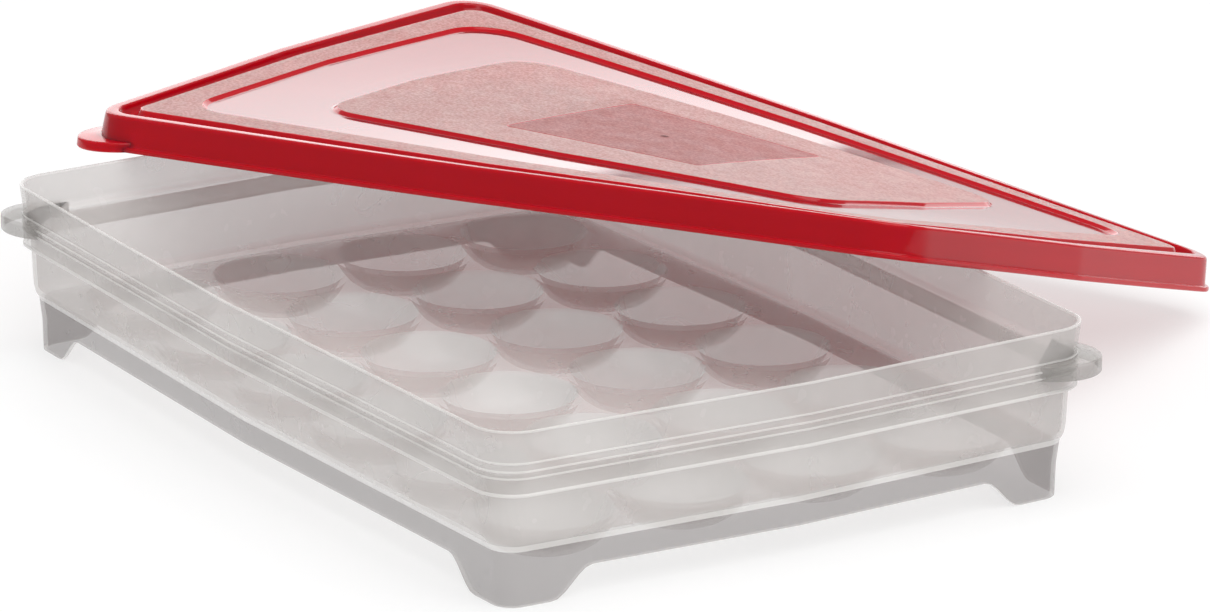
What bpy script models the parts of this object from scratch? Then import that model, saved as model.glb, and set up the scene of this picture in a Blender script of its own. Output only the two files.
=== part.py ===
"""Lidded storage tray for 24 eggs, laid out as it stands in use: the tray on its four
corner feet, and the flexible lid lying askew across the tray's walls with one corner hanging
low behind it. Metres, +Z up, rows of six cups along X, rows of four along Y."""

import bpy
from math import atan2, cos, pi, sin, sqrt, tan
from mathutils import Matrix, Vector

MM = 0.001

# Plan of the rim. Each side has a slight obtuse corner at its middle.
HALF_LENGTH = 160.0 * MM
HALF_WIDTH = 110.6 * MM
SIDE_BULGE = 4.3 * MM
CORNER_RADIUS = 14.0 * MM
CORNER_STEPS = 5

# Heights of the tray above the table.
TRAY_HEIGHT = 58.6 * MM
LEDGE_HEIGHT = 46.6 * MM
APRON_BOTTOM = 37.4 * MM
FLOOR_TOP = 20.4 * MM
STEP_HEIGHT = 18.6 * MM
ARCH_HEIGHT = 9.8 * MM
WALL = 1.4 * MM

# How far each wall stands in from the rim.
UPPER_WALL_IN = 1.2 * MM
APRON_IN = 1.1 * MM
APRON_WALL = 1.1 * MM
BODY_IN = 3.1 * MM
BODY_DRAFT = 0.9 * MM
SKIRT_IN = 5.8 * MM
SKIRT_DRAFT = 1.1 * MM
BEAD_HEIGHTS = (48.0 * MM, 45.4 * MM, 43.2 * MM)
BEAD_PROUD = 0.45 * MM

# Corner feet: the skirt reaches the table only this far from each corner.
FOOT_REACH = 17.0 * MM
FOOT_FLANK = 14.0 * MM
FLANK_STEPS = 4

# Egg cups.
CUPS_LONG, CUPS_WIDE = 6, 4
PITCH_LONG = 50.7 * MM
PITCH_WIDE = 49.1 * MM
CUP_RADIUS = 22.4 * MM
CUP_DEPTH = 11.9 * MM
CUP_SEGMENTS = 12
CUP_RINGS = ((1.0, 0.0), (0.93, 0.24), (0.70, 0.76), (0.36, 0.98))  # part of radius, of depth

# Corner tabs of the tray and the lid.
TAB_WIDTH = 30.0 * MM
TAB_REACH = 8.6 * MM
TRAY_TAB_LIP = 5.2 * MM
LID_TAB_LIP = 3.4 * MM
TAB_WALL = 1.3 * MM
TAB_ROOT = 0.6 * MM
TAB_STEPS = 12
TRAY_TAB_TOP = 47.6 * MM
LID_TAB_TOP = 3.4 * MM

# Lid, in its own frame: z = 0 at the lower edge of its skirt.
LID_HEIGHT = 11.8 * MM
LID_WALL = 1.2 * MM
LID_FLANGE_OUT = 3.5 * MM
LID_FLANGE_HEIGHT = 1.8 * MM
LID_SKIRT_OUT = 2.0 * MM
LID_RIM_OUT = 1.3 * MM
LID_RIM_WIDTH = 4.4 * MM
MOAT_DEPTH = 3.4 * MM
MOAT_WIDTH = 3.6 * MM
BORDER_WIDTH = 12.0 * MM
RECESS_DEPTH = 1.3 * MM
RECESS_RADIUS = 18.0 * MM
PANEL_HALF_LENGTH = 100.0 * MM
PANEL_HALF_WIDTH = 62.0 * MM
PANEL_RISE = 1.3 * MM
PANEL_RADIUS = 16.0 * MM
PANEL_EDGE = 1.3 * MM

# The soft lid as it lies: twisted a little corner to corner, its middle slightly domed.
LID_TWIST = -14.6 * MM
LID_DOME = 2.4 * MM
LID_TURN = Matrix((
    (0.91140, -0.41084, -0.02364),
    (0.40878, 0.89722, 0.16702),
    (-0.04741, -0.16189, 0.98567),
))
LID_PLACE = Vector((-76.2, 97.1, 49.4)) * MM


def clear_scene():
    for item in list(bpy.data.objects):
        bpy.data.objects.remove(item, do_unlink=True)


def plan_corners(half_length, half_width, bulge):
    """The eight corners of the plan, anticlockwise: true corners first and every second one."""
    return [
        Vector((-half_length, -half_width)), Vector((0, -half_width - bulge)),
        Vector((half_length, -half_width)), Vector((half_length + bulge, 0)),
        Vector((half_length, half_width)), Vector((0, half_width + bulge)),
        Vector((-half_length, half_width)), Vector((-half_length - bulge, 0)),
    ]


def corner_arc(before, corner, after, radius):
    """Points along the rounding of one corner."""
    back, ahead = (before - corner).normalized(), (after - corner).normalized()
    half_angle = back.angle(ahead) / 2
    centre = corner + (back + ahead).normalized() * (radius / sin(half_angle))
    start = corner + back * (radius / tan(half_angle)) - centre
    sweep = pi - 2 * half_angle
    return [
        centre + Matrix.Rotation(sweep * i / CORNER_STEPS, 2) @ start
        for i in range(CORNER_STEPS + 1)
    ]


def plan_loop(half_length, half_width, bulge, radius, flanks=(), splits=0):
    """The plan as (key, point) pairs, keys rising anticlockwise.

    Flanks adds points at those distances from each corner. Splits adds that many points
    between the end of each rounding and the middle of the side."""
    corners = plan_corners(half_length, half_width, bulge)
    loop = []
    for i in range(0, 8, 2):
        before, corner, after = corners[i - 1], corners[i], corners[(i + 1) % 8]
        arc = corner_arc(before, corner, after, radius)
        for j in range(splits):
            part = (j + 1) / (splits + 1)
            loop.append((i - 0.5 + part * 0.5, before.lerp(arc[0], part)))
        for j, far in enumerate(reversed(flanks)):
            loop.append((i + j * 0.01, corner + (before - corner).normalized() * far))
        loop += [(i + 0.2 + j * 0.01, point) for j, point in enumerate(arc)]
        for j, far in enumerate(flanks):
            loop.append((i + 0.3 + j * 0.01, corner + (after - corner).normalized() * far))
        for j in range(splits):
            part = (j + 1) / (splits + 1)
            loop.append((i + 0.4 + part * 0.05, arc[-1].lerp(after, part)))
        loop.append((i + 0.5, after))
    return loop


def rim_loop(inset, radius=None, **extra):
    """The rim's plan moved in by inset, its corner rounding kept parallel if none is given."""
    if radius is None:
        radius = max(CORNER_RADIUS - inset, 4 * MM)
    return plan_loop(HALF_LENGTH - inset, HALF_WIDTH - inset, SIDE_BULGE, radius, **extra)


def panel_loop(part, grow=0.0):
    """The outline of the lid's raised middle, shrunk to that part of its half width."""
    cut = PANEL_HALF_WIDTH * (1 - part) - grow
    return plan_loop(
        PANEL_HALF_LENGTH - cut, PANEL_HALF_WIDTH - cut, SIDE_BULGE * part,
        (PANEL_RADIUS + grow) * part, splits=1,
    )


class Shell:
    """Points and triangles of one closed body, built as rings joined from the middle of its
    top, outwards and round, to the middle of its underside."""

    def __init__(self):
        self.points, self.faces = [], []

    def add_point(self, x, y, z):
        self.points.append(Vector((x, y, z)))
        return len(self.points) - 1

    def ring(self, loop, height):
        """Adds a ring. Height is a number, or a function of a point of the loop."""
        at = height if callable(height) else lambda point: height
        return [(key, self.add_point(p.x, p.y, at(p))) for key, p in loop]

    def join(self, first, second, crossed=False):
        """Joins two rings in the order of their keys. They may have different points."""
        i = j = 0
        a, b = first + first[:1], second + second[:1]
        a_ends = [key for key, _ in first[1:]] + [99]
        b_ends = [key for key, _ in second[1:]] + [99]
        while i < len(first) or j < len(second):
            step_a = i < len(first) and (j == len(second) or a_ends[i] <= b_ends[j])
            step_b = j < len(second) and (i == len(first) or b_ends[j] <= a_ends[i])
            now_a, now_b = a[i][1], b[j][1]
            i, j = i + step_a, j + step_b
            new_a, new_b = a[i][1], b[j][1]
            if step_a and step_b and crossed:
                self.faces += [(now_a, now_b, new_a), (now_b, new_b, new_a)]
            elif step_a and step_b:
                self.faces += [(now_a, now_b, new_b), (now_a, new_b, new_a)]
            else:
                self.faces.append((now_a, now_b, new_a if step_a else new_b))

    def chain(self, rings, crossed=False):
        for first, second in zip(rings, rings[1:]):
            self.join(first, second, crossed)

    def cap(self, ring, up):
        face = tuple(index for _, index in ring)
        self.faces.append(face if up else face[::-1])

    def place(self, move):
        self.points = [move(point) for point in self.points]

    def make(self, name):
        mesh = bpy.data.meshes.new(name)
        mesh.from_pydata([tuple(point) for point in self.points], [], self.faces)
        item = bpy.data.objects.new(name, mesh)
        bpy.context.scene.collection.objects.link(item)
        return item


def skirt_edge(inset):
    """Height of the skirt's lower edge: on the table at the corners, arched between them."""

    def height(point):
        along_x = HALF_LENGTH - inset - abs(point.x)
        along_y = HALF_WIDTH - inset - abs(point.y)
        part = min(max((max(along_x, along_y) - FOOT_REACH) / FOOT_FLANK, 0.0), 1.0)
        return ARCH_HEIGHT * (3 * part**2 - 2 * part**3)

    return height


def by_angle(ring, shell):
    """The same ring, keyed by each point's angle round the middle."""
    found = [(atan2(shell.points[i].y, shell.points[i].x) % (2 * pi), i) for _, i in ring]
    first = found.index(min(found))
    return found[first:] + found[:first]


def add_cup(shell, middle, height, radius, depth):
    """One cup, from above. Returns its mouth."""
    rings = []
    for part, down in CUP_RINGS:
        turns = [2 * pi * k / CUP_SEGMENTS for k in range(CUP_SEGMENTS)]
        loop = [
            (turn, middle + Vector((cos(turn), sin(turn))) * radius * part) for turn in turns
        ]
        rings.append(shell.ring(loop, height - depth * down))
    shell.chain(rings[::-1])
    shell.cap(rings[-1], True)
    return [index for _, index in rings[0]]


def cell_lines(count, pitch):
    """Where the floor is divided between cups along one axis. The ends stay near the cups."""
    end = (count - 1) / 2 * pitch + CUP_RADIUS + WALL + 0.6 * MM
    return [-end] + [(i - count / 2) * pitch for i in range(1, count)] + [end]


def cup_field(shell, height, radius, depth, up):
    """One side of the floor with all its cups. Returns the ring round its outside."""
    first_face = len(shell.faces)
    xs, ys = cell_lines(CUPS_LONG, PITCH_LONG), cell_lines(CUPS_WIDE, PITCH_WIDE)
    corner = {
        (i, j): shell.add_point(x, y, height) for i, x in enumerate(xs) for j, y in enumerate(ys)
    }
    quarter = CUP_SEGMENTS // 4
    for i in range(CUPS_LONG):
        for j in range(CUPS_WIDE):
            middle = Vector((
                (i + 0.5 - CUPS_LONG / 2) * PITCH_LONG, (j + 0.5 - CUPS_WIDE / 2) * PITCH_WIDE,
            ))
            mouth = add_cup(shell, middle, height, radius, depth)
            cell = [corner[i + 1, j + 1], corner[i, j + 1], corner[i, j], corner[i + 1, j]]
            for side, tip in enumerate(cell):
                arc = [mouth[(side * quarter + k) % CUP_SEGMENTS] for k in range(quarter + 1)]
                shell.faces += [(tip, b, a) for a, b in zip(arc, arc[1:])]
                shell.faces.append((tip, arc[0], cell[side - 1]))
    if not up:
        shell.faces[first_face:] = [face[::-1] for face in shell.faces[first_face:]]
    outside = [corner[i, 0] for i in range(CUPS_LONG)]
    outside += [corner[CUPS_LONG, j] for j in range(CUPS_WIDE)]
    outside += [corner[i, CUPS_WIDE] for i in range(CUPS_LONG, 0, -1)]
    outside += [corner[0, j] for j in range(CUPS_WIDE, 0, -1)]
    return by_angle([(0, index) for index in outside], shell)


def tray_inside():
    """(inset, height) up the inside of the tray, from the floor to the rim."""
    body = BODY_IN + BODY_DRAFT + WALL
    return [
        (body + 1.7 * MM, FLOOR_TOP),
        (body + 0.6 * MM, FLOOR_TOP + 0.7 * MM),
        (body, FLOOR_TOP + 2.4 * MM),
        (BODY_IN + WALL, LEDGE_HEIGHT - 1.6 * MM),
        (BODY_IN + WALL - 0.5 * MM, LEDGE_HEIGHT - 0.5 * MM),
        (UPPER_WALL_IN + WALL + 0.4 * MM, LEDGE_HEIGHT + 0.4 * MM),
        (UPPER_WALL_IN + WALL - 0.1 * MM, LEDGE_HEIGHT + 1.8 * MM),
        (WALL, TRAY_HEIGHT - 0.5 * MM),
        (WALL - 0.4 * MM, TRAY_HEIGHT),
    ]


def tray_outside():
    """(inset, height) down the outside of the tray, from the rim to the top of the skirt."""
    profile = [(0.4 * MM, TRAY_HEIGHT), (0.0, TRAY_HEIGHT - 0.5 * MM)]
    for top in BEAD_HEIGHTS:
        inset = UPPER_WALL_IN if top > LEDGE_HEIGHT else APRON_IN
        profile += [
            (inset, top + 0.5 * MM), (inset - BEAD_PROUD, top), (inset, top - 0.6 * MM),
        ]
    return profile + [
        (APRON_IN, APRON_BOTTOM + 1.0 * MM),
        (APRON_IN - 0.3 * MM, APRON_BOTTOM + 0.4 * MM),
        (APRON_IN, APRON_BOTTOM),
        (APRON_IN + APRON_WALL, APRON_BOTTOM),
        (APRON_IN + APRON_WALL, LEDGE_HEIGHT - 2.4 * MM),
        (BODY_IN, LEDGE_HEIGHT - 2.8 * MM),
        (BODY_IN + BODY_DRAFT, STEP_HEIGHT + 5.2 * MM),
        (BODY_IN + BODY_DRAFT + 0.7 * MM, STEP_HEIGHT + 2.2 * MM),
        (SKIRT_IN - 0.3 * MM, STEP_HEIGHT + 0.4 * MM),
        (SKIRT_IN, STEP_HEIGHT - 0.4 * MM),
    ]


def make_tray():
    """Floor and cups, walls, apron, skirt and feet, as one moulding."""
    shell = Shell()
    floor_above = cup_field(shell, FLOOR_TOP, CUP_RADIUS, CUP_DEPTH, True)
    walls = [shell.ring(rim_loop(inset), z) for inset, z in tray_inside() + tray_outside()]
    shell.join(floor_above, by_angle(walls[0], shell))
    flanks = [FOOT_REACH + FOOT_FLANK * i / FLANK_STEPS for i in range(FLANK_STEPS + 1)]
    outer, inner = SKIRT_IN + SKIRT_DRAFT, SKIRT_IN + SKIRT_DRAFT + WALL
    above_arch = ARCH_HEIGHT + 1.2 * MM
    skirt = [
        shell.ring(rim_loop(outer - 0.3 * MM, flanks=flanks), above_arch),
        shell.ring(rim_loop(outer, flanks=flanks), skirt_edge(outer)),
        shell.ring(rim_loop(inner, flanks=flanks), skirt_edge(inner)),
        shell.ring(rim_loop(inner - 0.3 * MM, flanks=flanks), above_arch),
        shell.ring(rim_loop(SKIRT_IN + WALL), FLOOR_TOP - WALL - 1.6 * MM),
        shell.ring(rim_loop(SKIRT_IN + WALL + 1.2 * MM), FLOOR_TOP - WALL),
    ]
    shell.chain(walls + skirt)
    floor_below = cup_field(shell, FLOOR_TOP - WALL, CUP_RADIUS + WALL, CUP_DEPTH, False)
    shell.join(by_angle(skirt[-1], shell), floor_below)
    return shell.make("tray")


def tab_shell(inset, top, lip, side):
    """A D-shaped finger tab with a turned-down lip, on the corner at (+, +) or (-, -). Its
    root follows the rounded corner, half a wall deep."""
    shell = Shell()
    out = Vector((1, 1)).normalized() * side
    across = Vector((-1, 1)).normalized() * side
    corner = Vector((HALF_LENGTH - inset, HALF_WIDTH - inset)) * side
    radius = CORNER_RADIUS - inset
    half = TAB_WIDTH / 2
    rise = half + TAB_REACH - radius * (sqrt(2) - 1)

    def wall(a):
        """How far the wall is along the diagonal, at that distance to the side of it."""
        if abs(a) > radius / sqrt(2):
            return -abs(a)
        return sqrt(radius**2 - a**2) - radius * sqrt(2)

    def outline(shrink, back, root):
        turns = [pi * (i / TAB_STEPS - 0.5) for i in range(TAB_STEPS + 1)]
        width = half - shrink
        curve = [(width * sin(t), back - half + (rise - shrink - back) * cos(t)) for t in turns]
        foot = [(width * sin(t), wall(width * sin(t)) + root) for t in reversed(turns)]
        return list(enumerate(corner + across * a + out * o for a, o in curve + foot))

    root = TAB_ROOT
    rings = [
        shell.ring(outline(0.4 * MM, 0.0, -root), top),
        shell.ring(outline(0.0, 0.0, -root), top - 0.5 * MM),
        shell.ring(outline(0.0, 0.0, -root), top - lip),
        shell.ring(outline(TAB_WALL, 1.8 * MM, 0.2 * MM), top - lip),
        shell.ring(outline(TAB_WALL, 1.8 * MM, 0.2 * MM), top - TAB_WALL),
    ]
    shell.cap(rings[0], True)
    shell.chain(rings)
    shell.cap(rings[-1], False)
    return shell


def fuse(target, shell, name):
    """Joins a moulded-on feature to its part."""
    tool = shell.make(name)
    tool.hide_render = True
    tool.display_type = "WIRE"
    union = target.modifiers.new(name, "BOOLEAN")
    union.operation = "UNION"
    union.solver = "EXACT"
    union.object = tool


def lid_top():
    """Rings of the lid's upper side, from its middle out and down to the flange."""
    moat = LID_RIM_WIDTH - LID_RIM_OUT
    border = moat + MOAT_WIDTH + 2.4 * MM
    recess = border + BORDER_WIDTH
    low = LID_HEIGHT - RECESS_DEPTH
    rings = [(panel_loop(part), low + PANEL_RISE) for part in (0.07, 0.35, 0.68, 1.0)]
    rings += [(panel_loop(1.0, PANEL_EDGE), low)]
    outer = [
        (recess + 1.3 * MM, low, RECESS_RADIUS),
        (recess, LID_HEIGHT, RECESS_RADIUS + 1.3 * MM),
        (border, LID_HEIGHT, 7.0 * MM),
        (border - 1.4 * MM, LID_HEIGHT - MOAT_DEPTH, 8.4 * MM),
        (moat + 1.0 * MM, LID_HEIGHT - MOAT_DEPTH, 9.6 * MM),
        (moat, LID_HEIGHT - 0.9 * MM, None),
        (moat - 0.9 * MM, LID_HEIGHT, None),
        (1.0 * MM - LID_RIM_OUT, LID_HEIGHT, None),
        (-LID_RIM_OUT, LID_HEIGHT - 1.0 * MM, None),
        (-LID_SKIRT_OUT, LID_FLANGE_HEIGHT + 1.0 * MM, None),
        (-LID_SKIRT_OUT - 0.4 * MM, LID_FLANGE_HEIGHT, None),
        (0.5 * MM - LID_FLANGE_OUT, LID_FLANGE_HEIGHT, None),
        (-LID_FLANGE_OUT, LID_FLANGE_HEIGHT - 0.5 * MM, None),
        (-LID_FLANGE_OUT, 0.0, None),
    ]
    return rings + [(rim_loop(inset, radius, splits=1), z) for inset, z, radius in outer]


def lid_underside():
    """Rings of the lid's lower side, from the flange in and up to its middle."""
    moat = LID_RIM_WIDTH - LID_RIM_OUT
    border = moat + MOAT_WIDTH + 2.4 * MM
    recess = border + BORDER_WIDTH
    top = LID_HEIGHT - LID_WALL
    low = top - RECESS_DEPTH
    outer = [
        (LID_WALL - LID_SKIRT_OUT, 0.0, None),
        (LID_WALL - LID_RIM_OUT, top - 0.6 * MM, None),
        (LID_WALL - LID_RIM_OUT + 0.5 * MM, top, None),
        (moat - LID_WALL - 0.4 * MM, top, None),
        (moat - LID_WALL + 0.4 * MM, top - MOAT_DEPTH, 9.8 * MM),
        (border - 0.4 * MM, top - MOAT_DEPTH, 7.4 * MM),
        (border + 1.0 * MM, top, 6.0 * MM),
        (recess - 0.9 * MM, top, RECESS_RADIUS + 2.2 * MM),
        (recess + 0.4 * MM, low, RECESS_RADIUS + 0.9 * MM),
    ]
    rings = [(rim_loop(inset, radius, splits=1), z) for inset, z, radius in outer]
    rings += [(panel_loop(1.0, PANEL_EDGE - 0.9 * MM), low)]
    rings += [
        (panel_loop(part, -0.9 * MM * (part == 1.0)), low + PANEL_RISE)
        for part in (1.0, 0.68, 0.35, 0.07)
    ]
    return rings


def lay_lid(point):
    """Bends a point of the flat lid into the shape it rests in, and lays it over the tray."""
    x, y = point.x / HALF_LENGTH, point.y / HALF_WIDTH
    dome = LID_DOME * max(1 - x * x, 0.0) * max(1 - y * y, 0.0)
    bent = point + Vector((0, 0, LID_TWIST * x * y + dome))
    return LID_TURN @ bent + LID_PLACE


def make_lid():
    """The lid is one moulding: panel, border, moat, rim bead, skirt, flange and corner tab."""
    shell = Shell()
    above = [shell.ring(loop, z) for loop, z in lid_top()]
    below = [shell.ring(loop, z) for loop, z in lid_underside()]
    shell.cap(above[0], True)
    shell.chain(above)
    shell.join(above[-1], below[0])
    shell.chain(below, crossed=True)
    shell.cap(below[-1], False)
    shell.place(lay_lid)
    lid = shell.make("lid")
    tab = tab_shell(-LID_SKIRT_OUT, LID_TAB_TOP, LID_TAB_LIP, -1)
    tab.place(lay_lid)
    fuse(lid, tab, "lid_tab")
    return lid


def plastic(name, colour, roughness, transmission):
    material = bpy.data.materials.new(name)
    material.use_nodes = True
    shader = material.node_tree.nodes["Principled BSDF"]
    shader.inputs["Base Color"].default_value = (*colour, 1)
    shader.inputs["Roughness"].default_value = roughness
    shader.inputs["Transmission Weight"].default_value = transmission
    shader.inputs["IOR"].default_value = 1.49
    return material


def centre_on_origin(items):
    """Moves everything together, so that the middle of its footprint is the origin."""
    graph = bpy.context.evaluated_depsgraph_get()
    points = [
        vertex.co for item in items for vertex in item.evaluated_get(graph).data.vertices
    ]
    low = [min(point[axis] for point in points) for axis in range(3)]
    high = [max(point[axis] for point in points) for axis in range(3)]
    middle = Vector(((low[0] + high[0]) / 2, (low[1] + high[1]) / 2, low[2]))
    for item in bpy.data.objects:
        item.data.transform(Matrix.Translation(-middle))


clear_scene()
tray = make_tray()
for number, side in enumerate((-1, 1)):
    tab = tab_shell(APRON_IN, TRAY_TAB_TOP, TRAY_TAB_LIP, side)
    fuse(tray, tab, f"tray_tab_{number + 1}")
lid = make_lid()
tray.data.materials.append(plastic("milky_plastic", (0.86, 0.84, 0.85), 0.35, 0.6))
lid.data.materials.append(plastic("red_plastic", (0.55, 0.01, 0.02), 0.2, 0.3))
centre_on_origin([tray, lid])
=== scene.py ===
"""Translucent tray for 24 eggs with its soft red lid lying askew on top, standing on a pale
studio floor. Metres, +Z up, rows of six cups along X, rows of four along Y."""

from math import cos, pi, radians, sin, sqrt, tan

import bmesh
import bpy
from mathutils import Matrix, Vector


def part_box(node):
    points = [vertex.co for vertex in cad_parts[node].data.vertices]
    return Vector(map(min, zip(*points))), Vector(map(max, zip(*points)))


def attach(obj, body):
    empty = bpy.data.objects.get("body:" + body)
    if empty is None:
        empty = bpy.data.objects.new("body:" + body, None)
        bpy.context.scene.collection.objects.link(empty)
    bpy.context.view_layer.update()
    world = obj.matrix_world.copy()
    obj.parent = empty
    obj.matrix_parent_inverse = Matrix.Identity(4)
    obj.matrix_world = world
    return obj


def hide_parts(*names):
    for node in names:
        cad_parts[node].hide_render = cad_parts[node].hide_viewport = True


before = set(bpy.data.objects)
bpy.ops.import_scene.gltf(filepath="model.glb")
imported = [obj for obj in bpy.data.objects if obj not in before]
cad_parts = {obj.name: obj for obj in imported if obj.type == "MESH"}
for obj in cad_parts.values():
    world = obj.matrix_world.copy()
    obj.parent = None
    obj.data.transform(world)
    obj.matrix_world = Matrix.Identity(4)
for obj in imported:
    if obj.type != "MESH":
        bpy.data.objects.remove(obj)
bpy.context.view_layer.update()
MM = 0.001


# --- Floor, light and camera ---------------------------------------------------------------
# A pale studio floor that glows a little under a white sky, one large soft light high over
# the camera's side of the tray and a lower one behind it, and a long lens from the front
# right, above the rim.

tray_low, tray_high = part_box("tray")
TRAY_MIDDLE = Vector(((tray_low.x + tray_high.x) / 2, (tray_low.y + tray_high.y) / 2, 0))

WHITE = (1.0, 1.0, 1.0, 1)
FLOOR_REACH = 6.0  # from the floor's middle to each edge
FLOOR_GLOW = 0.60
FLOOR_DARK, FLOOR_PALE = (0.37, 0.37, 0.37, 1), (0.39, 0.39, 0.39, 1)
SKY_STRENGTH = 0.40
IMAGE_WIDTH = 1210
FOCAL_LENGTH = 6500  # on the same scale as IMAGE_WIDTH
CAMERA_PLACE = Vector((1731.41, -1058.76, 673.18)) * MM  # from the tray's middle


class Field:
    """A value in a material's node tree, so that shader maths is written as arithmetic."""

    def __init__(self, finish, socket):
        self.finish, self.socket = finish, socket

    def combine(self, operation, first, second):
        return self.finish.node("Math", {"operation": operation}, first, second)

    def __add__(self, other):
        return self.combine("ADD", self, other)

    def __radd__(self, other):
        return self.combine("ADD", other, self)

    def __sub__(self, other):
        return self.combine("SUBTRACT", self, other)

    def __rsub__(self, other):
        return self.combine("SUBTRACT", other, self)

    def __mul__(self, other):
        return self.combine("MULTIPLY", self, other)

    def __rmul__(self, other):
        return self.combine("MULTIPLY", other, self)


class Finish:
    """A material around one Principled shader, with its nodes made by one method."""

    def __init__(self, name, **constants):
        self.material = bpy.data.materials.new(name)
        self.material.use_nodes = True
        self.tree = self.material.node_tree
        self.shader = self.tree.nodes["Principled BSDF"]
        for socket, value in constants.items():
            self.shader.inputs[socket.replace("_", " ")].default_value = value
        self.place = self.node("TexCoord", {}, output="Object")

    def node(self, kind, settings, *inputs, output=0, **named):
        """Makes a node, sets it, feeds its sockets and gives back one of its outputs."""
        made = self.tree.nodes.new("ShaderNode" + kind)
        stops = settings.pop("stops", ())
        for key, value in settings.items():
            setattr(made, key, value)
        if stops:
            ramp = made.color_ramp
            ramp.elements[0].position, ramp.elements[0].color = stops[0]
            ramp.elements[1].position, ramp.elements[1].color = stops[1]
            for position, colour in stops[2:]:
                ramp.elements.new(position).color = colour
        feeds = list(enumerate(inputs)) + [(k.replace("_", " "), v) for k, v in named.items()]
        for socket, value in feeds:
            self.feed(made.inputs[socket], value)
        return Field(self, made.outputs[output])

    def feed(self, socket, value):
        if isinstance(value, Field):
            self.tree.links.new(value.socket, socket)
        elif value is not None:
            socket.default_value = value

    def set(self, socket, value):
        self.feed(self.shader.inputs[socket], value)

    def noise(self, size, detail=2.0, rough=0.5):
        """Cloudy noise from 0 to 1 whose patches are about that many metres across."""
        return self.node(
            "TexNoise", {}, output="Fac", Vector=self.place, Scale=1 / size, Detail=detail,
            Roughness=rough,
        )

    def range(self, value, low, high, start, end):
        """The value's stretch from low to high spread over start to end, and clamped."""
        return self.node("MapRange", {}, value, low, high, start, end)

    def mix(self, amount, first, second):
        """A colour between two colours."""
        settings = {"data_type": "RGBA"}
        mixed = self.node("Mix", settings, output="Result")
        made = mixed.socket.node
        sockets = [s for s in made.inputs if s.type == "RGBA"]
        self.feed(made.inputs["Factor"], amount)
        self.feed(sockets[0], first)
        self.feed(sockets[1], second)
        return Field(self, [s for s in made.outputs if s.type == "RGBA"][0])

    def bump(self, height, depth, under=None):
        """A normal that is raised by height, at most that many metres."""
        return self.node(
            "Bump", {}, output="Normal", Strength=1.0, Distance=depth, Height=height,
            Normal=under,
        )


floor_mesh = bmesh.new()
bmesh.ops.create_grid(floor_mesh, x_segments=8, y_segments=8, size=FLOOR_REACH)
floor_data = bpy.data.meshes.new("floor")
floor_mesh.to_mesh(floor_data)
floor_mesh.free()
floor = bpy.data.objects.new("floor", floor_data)
bpy.context.scene.collection.objects.link(floor)
paper = Finish(
    "studio_paper", Roughness=0.9, Specular_IOR_Level=0.2, Emission_Strength=FLOOR_GLOW,
)
paper.set("Emission Color", WHITE)
paper.set("Base Color", paper.mix(paper.noise(0.4), FLOOR_DARK, FLOOR_PALE))
floor_data.materials.append(paper.material)

sky = bpy.data.worlds.new("studio")
sky.use_nodes = True
sky.node_tree.nodes["Background"].inputs["Color"].default_value = WHITE
sky.node_tree.nodes["Background"].inputs["Strength"].default_value = SKY_STRENGTH
bpy.context.scene.world = sky
bpy.context.scene.view_settings.view_transform = "Standard"


def soft_light(name, place, aim, wide, tall, radiance):
    """A panel light at a place in the tray's frame, turned towards a point."""
    light = bpy.data.lights.new(name, "AREA")
    light.shape, light.size, light.size_y = "RECTANGLE", wide, tall
    light.energy = radiance * pi * wide * tall
    item = bpy.data.objects.new(name, light)
    item.location = TRAY_MIDDLE + Vector(place)
    item.rotation_euler = (Vector(aim) - Vector(place)).to_track_quat("-Z", "Y").to_euler()
    bpy.context.scene.collection.objects.link(item)


soft_light(
    "top_light", place=(0.8, -0.05, 2.0), aim=(0.0, 0.0, 0.0), wide=2.8, tall=2.8,
    radiance=2.0,
)
soft_light(
    "back_light", place=(-1.9, 1.3, 0.62), aim=(0.0, 0.0, 0.12), wide=3.2, tall=1.1,
    radiance=1.85,
)

camera_data = bpy.data.cameras.new("camera")
camera_data.sensor_width = 36.0
camera_data.lens = FOCAL_LENGTH / IMAGE_WIDTH * camera_data.sensor_width
camera_data.clip_end = 50.0
camera = bpy.data.objects.new("camera", camera_data)
camera_right = Vector((0.52982953, 0.84807954, 0.00646169))
camera_down = Vector((0.25623721, -0.15280953, -0.95445887))
camera_forward = camera_right.cross(camera_down)
turn = Matrix((camera_right, -camera_down, -camera_forward)).transposed().to_4x4()
camera.matrix_world = Matrix.Translation(TRAY_MIDDLE + CAMERA_PLACE) @ turn
bpy.context.scene.collection.objects.link(camera)
bpy.context.scene.camera = camera


# --- Tray ----------------------------------------------------------------------------------
# One injection moulding in natural polypropylene: a floor of 24 cups, a drafted wall with an
# apron and three fine beads round it, a skirt cut away in arches between four feet, and two
# finger tabs on opposite corners.

HALF_LENGTH = 160.0 * MM
HALF_WIDTH = 110.6 * MM
SIDE_BULGE = 4.3 * MM
CORNER_RADIUS = 14.0 * MM
ARC_STEPS = 10
LONG_STEPS, SHORT_STEPS = 60, 40

TRAY_HEIGHT = 58.6 * MM
LEDGE_HEIGHT = 46.6 * MM
APRON_BOTTOM = 37.4 * MM
FLOOR_TOP = 20.4 * MM
STEP_HEIGHT = 18.6 * MM
ARCH_HEIGHT = 9.8 * MM
WALL = 1.4 * MM
UPPER_WALL_IN = 1.2 * MM
APRON_IN = 1.1 * MM
APRON_WALL = 1.1 * MM
BODY_IN = 3.1 * MM
BODY_DRAFT = 0.9 * MM
SKIRT_IN = 5.8 * MM
SKIRT_DRAFT = 1.1 * MM
BEAD_HEIGHTS = (48.0 * MM, 45.4 * MM, 43.2 * MM)
BEAD_PROUD = 0.45 * MM
BEAD_HALF_HEIGHT, BEAD_HALF_CREST = 0.7 * MM, 0.1 * MM
LIP_PROUD = 0.35 * MM
FLOOR_FILLET = 1.7 * MM
EDGE_ROUNDING = 0.55 * MM
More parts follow.
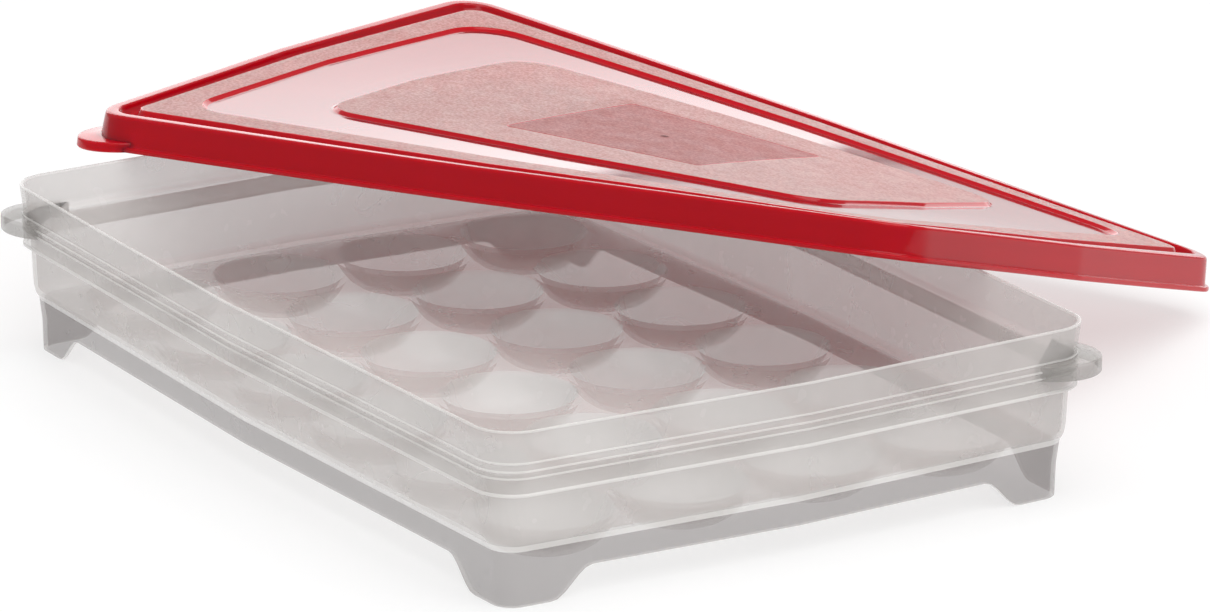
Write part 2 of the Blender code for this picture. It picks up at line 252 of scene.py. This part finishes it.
FOOT_ROUNDING = 0.35 * MM
FOOT_REACH = 17.0 * MM
FOOT_FLANK = 14.0 * MM


def plan(half_length, half_width, bulge, radius):
    """Points round a rounded rectangle whose sides have a slight obtuse corner at their
    middle. Every plan has the same number of points, so that one can be swept to another."""
    corners = [
        Vector((-half_length, -half_width)), Vector((0, -half_width - bulge)),
        Vector((half_length, -half_width)), Vector((half_length + bulge, 0)),
        Vector((half_length, half_width)), Vector((0, half_width + bulge)),
        Vector((-half_length, half_width)), Vector((-half_length - bulge, 0)),
    ]
    points = []
    for i in range(0, 8, 2):
        before, corner, after = corners[i - 1], corners[i], corners[(i + 1) % 8]
        back, ahead = (before - corner).normalized(), (after - corner).normalized()
        half_angle = back.angle(ahead) / 2
        centre = corner + (back + ahead).normalized() * (radius / sin(half_angle))
        start = corner + back * (radius / tan(half_angle)) - centre
        sweep = pi - 2 * half_angle
        arc = [
            centre + Matrix.Rotation(sweep * k / ARC_STEPS, 2) @ start
            for k in range(ARC_STEPS + 1)
        ]
        into, out_of = (SHORT_STEPS, LONG_STEPS) if i % 4 == 0 else (LONG_STEPS, SHORT_STEPS)
        points += [before.lerp(arc[0], k / into) for k in range(into)]
        points += arc
        points += [arc[-1].lerp(after, k / out_of) for k in range(1, out_of)]
    return points


def rim_plan(inset, radius=None):
    """The rim's plan moved in by inset."""
    if radius is None:
        radius = max(CORNER_RADIUS - inset, 4 * MM)
    return plan(HALF_LENGTH - inset, HALF_WIDTH - inset, SIDE_BULGE, radius)


def level(points, height):
    """Plan points at a height, which may be a number or a function of the point."""
    return [
        Vector((p.x, p.y, height(p) if callable(height) else height)) for p in points
    ]


def circle(middle, radius, height, segments=36):
    return [
        Vector((
            middle.x + radius * cos(2 * pi * k / segments),
            middle.y + radius * sin(2 * pi * k / segments), height,
        ))
        for k in range(segments)
    ]


def softened(profile, radius, steps=2):
    """A profile with each of its inner corners rounded."""
    points = [Vector(point) for point in profile]
    soft = [points[0]]
    for before, corner, after in zip(points, points[1:], points[2:]):
        back, ahead = before - corner, after - corner
        cut = min(radius, back.length * 0.45, ahead.length * 0.45)
        start, end = corner + back.normalized() * cut, corner + ahead.normalized() * cut
        for k in range(steps + 1):
            t = k / steps
            soft.append((1 - t) ** 2 * start + 2 * t * (1 - t) * corner + t * t * end)
    return soft + [points[-1]]


class Moulding:
    """A wall that is swept ring by ring, each new ring extruded from the last."""

    def __init__(self):
        self.mesh = bmesh.new()
        self.ring = []

    def start(self, points):
        self.ring = [self.mesh.verts.new(point) for point in points]
        for pair in zip(self.ring, self.ring[1:] + self.ring[:1]):
            self.mesh.edges.new(pair)
        return self

    def edges(self):
        return [
            self.mesh.edges.get(pair) for pair in zip(self.ring, self.ring[1:] + self.ring[:1])
        ]

    def sweep(self, points, finish=0):
        grown = bmesh.ops.extrude_edge_only(self.mesh, edges=self.edges())["geom"]
        new = {item for item in grown if isinstance(item, bmesh.types.BMVert)}
        self.ring = [
            next(e.other_vert(v) for e in v.link_edges if e.other_vert(v) in new)
            for v in self.ring
        ]
        for vertex, point in zip(self.ring, points):
            vertex.co = point
        for item in grown:
            if isinstance(item, bmesh.types.BMFace):
                item.material_index = finish

    def cap(self, finish=0):
        made = bmesh.ops.contextual_create(self.mesh, geom=self.edges())
        for face in made["faces"]:
            face.material_index = finish

    def make(self, name, finishes, sharp=38):
        bmesh.ops.recalc_face_normals(self.mesh, faces=self.mesh.faces)
        data = bpy.data.meshes.new(name)
        self.mesh.to_mesh(data)
        self.mesh.free()
        data.shade_smooth()
        data.set_sharp_from_angle(angle=radians(sharp))
        for finish in finishes:
            data.materials.append(finish.material)
        item = bpy.data.objects.new(name, data)
        bpy.context.scene.collection.objects.link(item)
        return item


def skirt_edge(inset):
    """Height of the skirt's lower edge: on the table at the feet, arched between them."""

    def height(point):
        along_x = HALF_LENGTH - inset - abs(point.x)
        along_y = HALF_WIDTH - inset - abs(point.y)
        part = min(max((max(along_x, along_y) - FOOT_REACH) / FOOT_FLANK, 0.0), 1.0)
        return ARCH_HEIGHT * (3 * part**2 - 2 * part**3)

    return height


body = BODY_IN + BODY_DRAFT
inside = [
    (body + WALL + FLOOR_FILLET, FLOOR_TOP),
    (body + WALL, FLOOR_TOP + FLOOR_FILLET),
    (BODY_IN + WALL, LEDGE_HEIGHT - 0.9 * MM),
    (UPPER_WALL_IN + WALL + 0.1 * MM, LEDGE_HEIGHT + 0.7 * MM),
    (WALL, TRAY_HEIGHT),
    (0.0, TRAY_HEIGHT),
]
outside = []
for top in BEAD_HEIGHTS:
    wall_in = UPPER_WALL_IN if top > LEDGE_HEIGHT else APRON_IN
    outside += [
        (wall_in, top + BEAD_HALF_HEIGHT), (wall_in - BEAD_PROUD, top + BEAD_HALF_CREST),
        (wall_in - BEAD_PROUD, top - BEAD_HALF_CREST), (wall_in, top - BEAD_HALF_HEIGHT),
    ]
outside += [
    (APRON_IN, APRON_BOTTOM + 1.1 * MM),
    (APRON_IN - LIP_PROUD, APRON_BOTTOM + 0.7 * MM),
    (APRON_IN - LIP_PROUD, APRON_BOTTOM),
    (APRON_IN + APRON_WALL, APRON_BOTTOM),
    (APRON_IN + APRON_WALL, LEDGE_HEIGHT - 2.4 * MM),
    (BODY_IN, LEDGE_HEIGHT - 2.8 * MM),
    (body, STEP_HEIGHT + 5.2 * MM),
    (body + 0.5 * MM, STEP_HEIGHT + 2.4 * MM),
    (SKIRT_IN - 0.1 * MM, STEP_HEIGHT + 0.3 * MM),
    (SKIRT_IN + 0.1 * MM, STEP_HEIGHT - 1.4 * MM),
    (SKIRT_IN + SKIRT_DRAFT - 0.3 * MM, ARCH_HEIGHT + 1.2 * MM),
]
tray_profile = softened(inside + outside, EDGE_ROUNDING)

WALL_FINISH, EDGE_PAINTED_HIGHLIGHT, TAB_PAINTED_SHADE, SKIRT_PAINTED_SHADE = range(4)
# The rim top, apron lip, step and beads take a lighter, more opaque copy of the milky plastic:
# more opaque where the plastic seen edge-on is thicker, and lighter as a painted highlight line.
THICK_AND_HIGHLIGHT_EDGES = (  # lowest and highest point of each edge with a painted highlight line, and how far in it may lie
    (TRAY_HEIGHT - EDGE_ROUNDING, TRAY_HEIGHT, WALL),
    (APRON_BOTTOM - 0.1 * MM, APRON_BOTTOM + 1.1 * MM, APRON_IN + APRON_WALL),
    (STEP_HEIGHT - 0.6 * MM, STEP_HEIGHT + 0.9 * MM, SKIRT_IN),
    *((top - 0.4 * MM, top + 0.4 * MM, APRON_IN + 0.1 * MM) for top in BEAD_HEIGHTS),
)


# Bright edges take the lighter copy with painted highlight lines; the skirt below the step takes
# a darker copy with painted shade.
def tray_finish(inset, height):
    if any(low <= height <= high and inset <= far for low, high, far in THICK_AND_HIGHLIGHT_EDGES):
        return EDGE_PAINTED_HIGHLIGHT
    return SKIRT_PAINTED_SHADE if height < STEP_HEIGHT else WALL_FINISH


tray = Moulding().start(level(rim_plan(tray_profile[0].x), tray_profile[0].y))
floor_edge = tray.edges()
for inset, height in tray_profile[1:]:
    tray.sweep(level(rim_plan(inset), height), tray_finish(inset, height))
outer = SKIRT_IN + SKIRT_DRAFT
inner = outer + WALL
edge_height = skirt_edge(outer)
# The foot's rounded lower edge takes the same lighter copy, a painted highlight line.
for inset, lift, finish in (
    (outer - 0.05 * MM, FOOT_ROUNDING, SKIRT_PAINTED_SHADE),
    (outer + FOOT_ROUNDING, 0.0, EDGE_PAINTED_HIGHLIGHT),
    (inner - FOOT_ROUNDING, 0.0, EDGE_PAINTED_HIGHLIGHT),
    (inner, FOOT_ROUNDING, EDGE_PAINTED_HIGHLIGHT),
):
    tray.sweep(level(rim_plan(inset), lambda point: edge_height(point) + lift), finish)
# The skirt's inside takes the darker copy too, painted shade.
tray.sweep(level(rim_plan(inner - 0.3 * MM), ARCH_HEIGHT + 1.2 * MM), SKIRT_PAINTED_SHADE)
tray.sweep(level(rim_plan(SKIRT_IN + WALL), FLOOR_TOP - WALL - 1.4 * MM), SKIRT_PAINTED_SHADE)
tray.sweep(level(rim_plan(SKIRT_IN + WALL + 0.3 * MM), FLOOR_TOP - WALL - 0.4 * MM))
tray.sweep(level(rim_plan(SKIRT_IN + WALL + 1.2 * MM), FLOOR_TOP - WALL))
underside_edge = tray.edges()

# The cups: shallow round bowls with a rolled mouth, pressed down into the flat floor.
CUPS_LONG, CUPS_WIDE = 6, 4
PITCH_LONG, PITCH_WIDE = 50.7 * MM, 49.1 * MM
CUP_RADIUS = 22.4 * MM
CUP_DEPTH = 11.9 * MM
CUP_MOUTH = 0.5 * MM  # how far the rolled mouth reaches past the cup's radius
CUP_PROFILE = (  # parts of the radius and of the depth
    (1.0, 0.0), (0.985, 0.03), (0.962, 0.11), (0.93, 0.23), (0.87, 0.42), (0.78, 0.62),
    (0.67, 0.78), (0.54, 0.89), (0.38, 0.965), (0.20, 1.0),
)
for top, grow, border in ((FLOOR_TOP, 0.0, floor_edge), (FLOOR_TOP - WALL, WALL, underside_edge)):
    mouths = []
    for i in range(CUPS_LONG):
        for j in range(CUPS_WIDE):
            middle = Vector((
                (i + 0.5 - CUPS_LONG / 2) * PITCH_LONG, (j + 0.5 - CUPS_WIDE / 2) * PITCH_WIDE,
            ))
            tray.start(circle(middle, CUP_RADIUS + grow + CUP_MOUTH, top))
            mouths += tray.edges()
            for part, down in CUP_PROFILE:
                tray.sweep(circle(middle, (CUP_RADIUS + grow) * part, top - CUP_DEPTH * down))
            tray.cap()
    bmesh.ops.triangle_fill(tray.mesh, use_beauty=True, edges=border + mouths)

# D-shaped finger tabs with a turned-down lip: two on the tray here, and one on the lid below.
TAB_WIDTH = 30.0 * MM
TAB_REACH = 8.6 * MM
TAB_WALL = 1.3 * MM
TAB_STEPS = 40
TAB_ROOT = -0.5 * MM  # out from the wall's face, so the tab starts a little inside it
TAB_INNER_ROOT = 0.2 * MM
TAB_INNER_BACK = 1.8 * MM
TRAY_TAB_LIP = 5.2 * MM
TRAY_TAB_TOP = 47.6 * MM


def add_tab(moulding, inset, top, lip, side, finish=0):
    """Sweeps a tab onto the corner at (+, +) or (-, -). Its root follows the rounded wall."""
    out = Vector((1, 1)).normalized() * side
    across = Vector((-1, 1)).normalized() * side
    corner = Vector((HALF_LENGTH - inset, HALF_WIDTH - inset)) * side
    radius = CORNER_RADIUS - inset
    half = TAB_WIDTH / 2
    rise = half + TAB_REACH - radius * (sqrt(2) - 1)

    def wall(a):
        if abs(a) > radius / sqrt(2):
            return -abs(a)
        return sqrt(radius**2 - a**2) - radius * sqrt(2)

    def outline(shrink, back, root, height):
        turns = [pi * (k / TAB_STEPS - 0.5) for k in range(TAB_STEPS + 1)]
        width = half - shrink
        curve = [(width * sin(t), back - half + (rise - shrink - back) * cos(t)) for t in turns]
        foot = [(width * sin(t), wall(width * sin(t)) + root) for t in reversed(turns)]
        flat = [corner + across * a + out * o for a, o in curve + foot]
        return level(flat, height)

    moulding.start(outline(1.0 * MM, 0.0, TAB_ROOT, top))
    moulding.cap(finish)
    for shrink, down in ((0.35, 0.1), (0.1, 0.32), (0.0, 0.7)):
        moulding.sweep(outline(shrink * MM, 0.0, TAB_ROOT, top - down * MM), finish)
    moulding.sweep(outline(0.0, 0.0, TAB_ROOT, top - lip + 0.4 * MM), finish)
    moulding.sweep(outline(0.3 * MM, 0.0, TAB_ROOT, top - lip), finish)
    for shrink, height in (
        (TAB_WALL - 0.3 * MM, top - lip), (TAB_WALL, top - lip + 0.4 * MM),
        (TAB_WALL, top - TAB_WALL),
    ):
        moulding.sweep(outline(shrink, TAB_INNER_BACK, TAB_INNER_ROOT, height), finish)
    moulding.cap(finish)


# The tray's tabs take a darker copy of the milky plastic: painted shade.
for side in (-1, 1):
    add_tab(tray, APRON_IN, TRAY_TAB_TOP, TRAY_TAB_LIP, side, TAB_PAINTED_SHADE)
bmesh.ops.translate(tray.mesh, verts=tray.mesh.verts, vec=TRAY_MIDDLE)


def milky_plastic(name, light, deep, clear, dense):
    """Milky, see-through plastic, satin on the outside. With its faint flow mottle it stops
    a share of the light between clear and dense."""
    milky = Finish(name, IOR=1.45)
    mottle = milky.noise(30 * MM, detail=2.0)
    milky.set("Base Color", milky.mix(mottle, deep, light))
    milky.set("Alpha", milky.range(mottle, 0.2, 0.8, clear, dense))
    milky.set("Roughness", milky.range(milky.noise(8 * MM), 0.3, 0.7, 0.22, 0.28))
    return milky


milky_wall = milky_plastic(
    "milky_polypropylene", (0.73, 0.70, 0.68, 1), (0.61, 0.58, 0.56, 1), 0.34, 0.40,
)
# A lighter, more opaque copy of the wall for the bright edges: painted highlight lines.
milky_edge_painted_highlight = milky_plastic(
    "milky_edge_painted_highlight", (0.94, 0.92, 0.90, 1), (0.86, 0.84, 0.82, 1), 0.47, 0.53,
)
# A darker copy of the wall for the tabs: painted shade.
milky_tab_painted_shade = milky_plastic(
    "milky_tab_painted_shade", (0.42, 0.40, 0.38, 1), (0.36, 0.34, 0.32, 1), 0.46, 0.52,
)
# A darker, more opaque copy of the wall for the skirt below the step: painted shade.
milky_skirt_painted_shade = milky_plastic(
    "milky_skirt_painted_shade", (0.38, 0.35, 0.345, 1), (0.32, 0.29, 0.285, 1), 0.42, 0.47,
)
tray_piece = tray.make("tray_moulding", [milky_wall, milky_edge_painted_highlight, milky_tab_painted_shade, milky_skirt_painted_shade])
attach(tray_piece, "tray")
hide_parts("tray")


# --- Lid -----------------------------------------------------------------------------------
# One soft red moulding: a frosted raised panel in a glossy, darker recess, a frosted border,
# a moat and a rounded rim bead, then a glossy skirt with a small flange and one finger tab.
# It lies twisted.

LID_HEIGHT = 11.8 * MM
LID_WALL = 1.2 * MM
LID_FLANGE_OUT = 3.5 * MM
LID_FLANGE_HEIGHT = 1.8 * MM
LID_SKIRT_OUT = 2.0 * MM
LID_RIM_OUT = 1.3 * MM
LID_RIM_WIDTH = 4.4 * MM
MOAT_DEPTH = 3.4 * MM
MOAT_WIDTH = 3.6 * MM
MOAT_SLOPES = 2.4 * MM
BORDER_WIDTH = 12.0 * MM
RECESS_DEPTH = 1.3 * MM
RECESS_RADIUS = 18.0 * MM
PANEL_HALF_LENGTH = 100.0 * MM
PANEL_HALF_WIDTH = 62.0 * MM
PANEL_RISE = 1.3 * MM
PANEL_RADIUS = 16.0 * MM
FIELD_HALF_LENGTH, FIELD_HALF_WIDTH = 39.0 * MM, 40.0 * MM
LID_TAB_TOP = 3.4 * MM
LID_TAB_LIP = 3.4 * MM

# The soft lid as it lies: twisted corner to corner, its middle slightly domed.
LID_TWIST = -14.6 * MM
LID_DOME = 2.4 * MM
LID_TURN = Matrix((
    (0.91140, -0.41084, -0.02364),
    (0.40878, 0.89722, 0.16702),
    (-0.04741, -0.16189, 0.98567),
))
LID_PLACE = Vector((-76.2, 97.1, 49.4)) * MM

GLOW = 0.6  # share of the red plastic's light that spreads inside it
GLOW_REACH = (9.0, 0.4, 0.4)  # how far red, green and blue light spreads, in walls
GLOSSY, FROSTED, FIELD, GATE, MIRROR = range(5)


def panel_plan(grow):
    return plan(
        PANEL_HALF_LENGTH + grow, PANEL_HALF_WIDTH + grow, SIDE_BULGE,
        max(PANEL_RADIUS + grow, 4 * MM),
    )


def field_plan(part, grow=0.0):
    """The outline of the square field in the middle of the panel, or a smaller copy."""
    return plan(
        FIELD_HALF_LENGTH * part + grow, FIELD_HALF_WIDTH * part + grow, 0.0,
        (2 * MM + max(grow, 0)) * part,
    )


def between(first, second, part):
    return [a.lerp(b, part) for a, b in zip(first, second)]


moat = LID_RIM_WIDTH - LID_RIM_OUT
border = moat + MOAT_WIDTH + MOAT_SLOPES
recess = border + BORDER_WIDTH
panel_height = LID_HEIGHT - RECESS_DEPTH + PANEL_RISE
recess_low = LID_HEIGHT - RECESS_DEPTH

lid = Moulding().start(level(field_plan(0.02), panel_height + 0.2 * MM))
lid.cap(GATE)
lid.sweep(level(field_plan(0.032), panel_height), GATE)
for part in (0.08, 0.2, 0.4, 0.6, 0.8, 0.97, 1.0):
    lid.sweep(level(field_plan(part), panel_height), FIELD)
lid.sweep(level(field_plan(1.0, 0.25 * MM), panel_height - 0.12 * MM), GLOSSY)
lid.sweep(level(field_plan(1.0, 0.5 * MM), panel_height), GLOSSY)
edge_of_field = field_plan(1.0, 0.5 * MM)
for part in (0.2, 0.4, 0.6, 0.8, 0.96):
    lid.sweep(level(between(edge_of_field, panel_plan(-0.3 * MM), part), panel_height), FROSTED)
for grow, down, finish in (
    (-0.3, 0.0, FROSTED), (0.0, 0.06, FROSTED), (0.25, 0.3, GLOSSY), (1.05, 1.1, GLOSSY),
    (1.4, 1.3, GLOSSY),
):
    lid.sweep(level(panel_plan(grow * MM), panel_height - down * MM), finish)
inner_edge = rim_plan(recess + 1.7 * MM, RECESS_RADIUS - 0.4 * MM)
edge_of_panel = panel_plan(1.4 * MM)
for part in (0.03, 0.25, 0.5, 0.75, 0.97, 1.0):
    lid.sweep(level(between(edge_of_panel, inner_edge, part), recess_low), MIRROR)
for inset, height, radius, finish in (
    (recess + 1.3 * MM, recess_low + 0.1 * MM, RECESS_RADIUS, GLOSSY),
    (recess + 0.25 * MM, LID_HEIGHT - 0.25 * MM, RECESS_RADIUS + 1.05 * MM, GLOSSY),
    (recess - 0.05 * MM, LID_HEIGHT - 0.05 * MM, RECESS_RADIUS + 1.35 * MM, GLOSSY),
    (recess - 0.4 * MM, LID_HEIGHT, RECESS_RADIUS + 1.3 * MM, FROSTED),
    (recess - 4.0 * MM, LID_HEIGHT, 14.0 * MM, FROSTED),
    (recess - 8.0 * MM, LID_HEIGHT, 10.0 * MM, FROSTED),
    (border + 0.5 * MM, LID_HEIGHT, 7.0 * MM, FROSTED),
    (border + 0.1 * MM, LID_HEIGHT - 0.1 * MM, 7.2 * MM, GLOSSY),
    (border - 0.1 * MM, LID_HEIGHT - 0.4 * MM, 7.4 * MM, GLOSSY),
    (border - 1.1 * MM, LID_HEIGHT - MOAT_DEPTH + 0.5 * MM, 8.2 * MM, GLOSSY),
    (border - 1.7 * MM, LID_HEIGHT - MOAT_DEPTH, 8.6 * MM, GLOSSY),
    (moat + 1.3 * MM, LID_HEIGHT - MOAT_DEPTH, 9.6 * MM, GLOSSY),
    (moat + 0.7 * MM, LID_HEIGHT - MOAT_DEPTH + 0.5 * MM, 10.2 * MM, GLOSSY),
):
    lid.sweep(level(rim_plan(inset, radius), height), finish)
bead = softened([
    (moat + 0.1 * MM, LID_HEIGHT - 1.4 * MM),
    (moat - 0.2 * MM, LID_HEIGHT),
    (-LID_RIM_OUT, LID_HEIGHT),
    (-LID_SKIRT_OUT, LID_FLANGE_HEIGHT + 1.0 * MM),
    (-LID_SKIRT_OUT - 0.2 * MM, LID_FLANGE_HEIGHT),
    (-LID_FLANGE_OUT, LID_FLANGE_HEIGHT),
    (-LID_FLANGE_OUT, 0.0),
    (LID_WALL - LID_SKIRT_OUT, 0.0),
    (LID_WALL - LID_RIM_OUT, LID_HEIGHT - LID_WALL - 1.0 * MM),
], 1.3 * MM, steps=5)
for inset, height in bead:
    lid.sweep(level(rim_plan(inset), height), GLOSSY)
under = LID_HEIGHT - LID_WALL
for inset, height, radius in (
    (LID_WALL - LID_RIM_OUT + 0.5 * MM, under, None),
    (moat - LID_WALL - 0.4 * MM, under, None),
    (moat - LID_WALL + 0.4 * MM, under - MOAT_DEPTH, 9.8 * MM),
    (border - 0.4 * MM, under - MOAT_DEPTH, 7.4 * MM),
    (border + 1.0 * MM, under, 6.0 * MM),
    (recess - 0.9 * MM, under, RECESS_RADIUS + 2.2 * MM),
    (recess + 0.4 * MM, under - RECESS_DEPTH, RECESS_RADIUS + 0.9 * MM),
):
    lid.sweep(level(rim_plan(inset, radius), height), GLOSSY)
under_low = under - RECESS_DEPTH
recess_edge = rim_plan(recess + 0.4 * MM, RECESS_RADIUS + 0.9 * MM)
for part in (0.33, 0.67, 1.0):
    lid.sweep(level(between(recess_edge, panel_plan(0.4 * MM), part), under_low), GLOSSY)
for part in (1.0, 0.75, 0.5, 0.25, 0.05):
    outline = between(field_plan(0.1), panel_plan(-0.9 * MM), part)
    lid.sweep(level(outline, under_low + PANEL_RISE), GLOSSY)
lid.cap(GLOSSY)
add_tab(lid, -LID_SKIRT_OUT, LID_TAB_TOP, LID_TAB_LIP, -1)

for vertex in lid.mesh.verts:
    x, y = vertex.co.x / HALF_LENGTH, vertex.co.y / HALF_WIDTH
    dome = LID_DOME * max(1 - x * x, 0.0) * max(1 - y * y, 0.0)
    bent = vertex.co + Vector((0, 0, LID_TWIST * x * y + dome))
    vertex.co = LID_TURN @ bent + LID_PLACE + TRAY_MIDDLE


def red_plastic(name, light, deep, smooth, rough, grain=0.0, index=1.36):
    """Red plastic, pale and speckled where the mould's grain frosts it."""
    red = Finish(
        name, IOR=index, Subsurface_Weight=GLOW, Subsurface_Radius=GLOW_REACH,
        Subsurface_Scale=LID_WALL,
    )
    tint = red.noise(40 * MM, detail=1.0)
    if grain:
        speckle = red.noise(1.1 * MM, detail=2.0, rough=0.65)
        tint = red.range(speckle, 0.36, 0.64, 0.0, 1.0) * 0.8 + tint * 0.2
    red.set("Base Color", red.mix(tint, deep, light))
    red.set("Roughness", red.range(red.noise(8 * MM), 0.3, 0.7, smooth, rough))
    waves = red.bump(red.noise(60 * MM, detail=0.0), 0.2 * MM)
    if grain:
        waves = red.bump(red.noise(0.8 * MM, detail=2.0, rough=0.6), grain, waves)
    red.set("Normal", waves)
    return red


glossy_red = red_plastic(
    "glossy_red", (0.46, 0.001, 0.010, 1), (0.41, 0.001, 0.008, 1), 0.06, 0.10,
)
mirror_red = red_plastic(
    "mirror_red", (0.22, 0.001, 0.007, 1), (0.19, 0.001, 0.006, 1), 0.05, 0.08, index=1.40,
)
frosted_red = red_plastic(
    "frosted_red", (0.50, 0.31, 0.29, 1), (0.31, 0.13, 0.12, 1), 0.42, 0.54, 0.10 * MM,
)
field_red = red_plastic(
    "frosted_red_field", (0.38, 0.14, 0.13, 1), (0.21, 0.03, 0.03, 1), 0.44, 0.56, 0.14 * MM,
)
gate_red = red_plastic(
    "gate_mark_red", (0.12, 0.01, 0.01, 1), (0.09, 0.008, 0.008, 1), 0.5, 0.6,
)
lid_piece = lid.make(
    "lid_moulding", [glossy_red, frosted_red, field_red, gate_red, mirror_red],
)
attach(lid_piece, "lid")
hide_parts("lid")
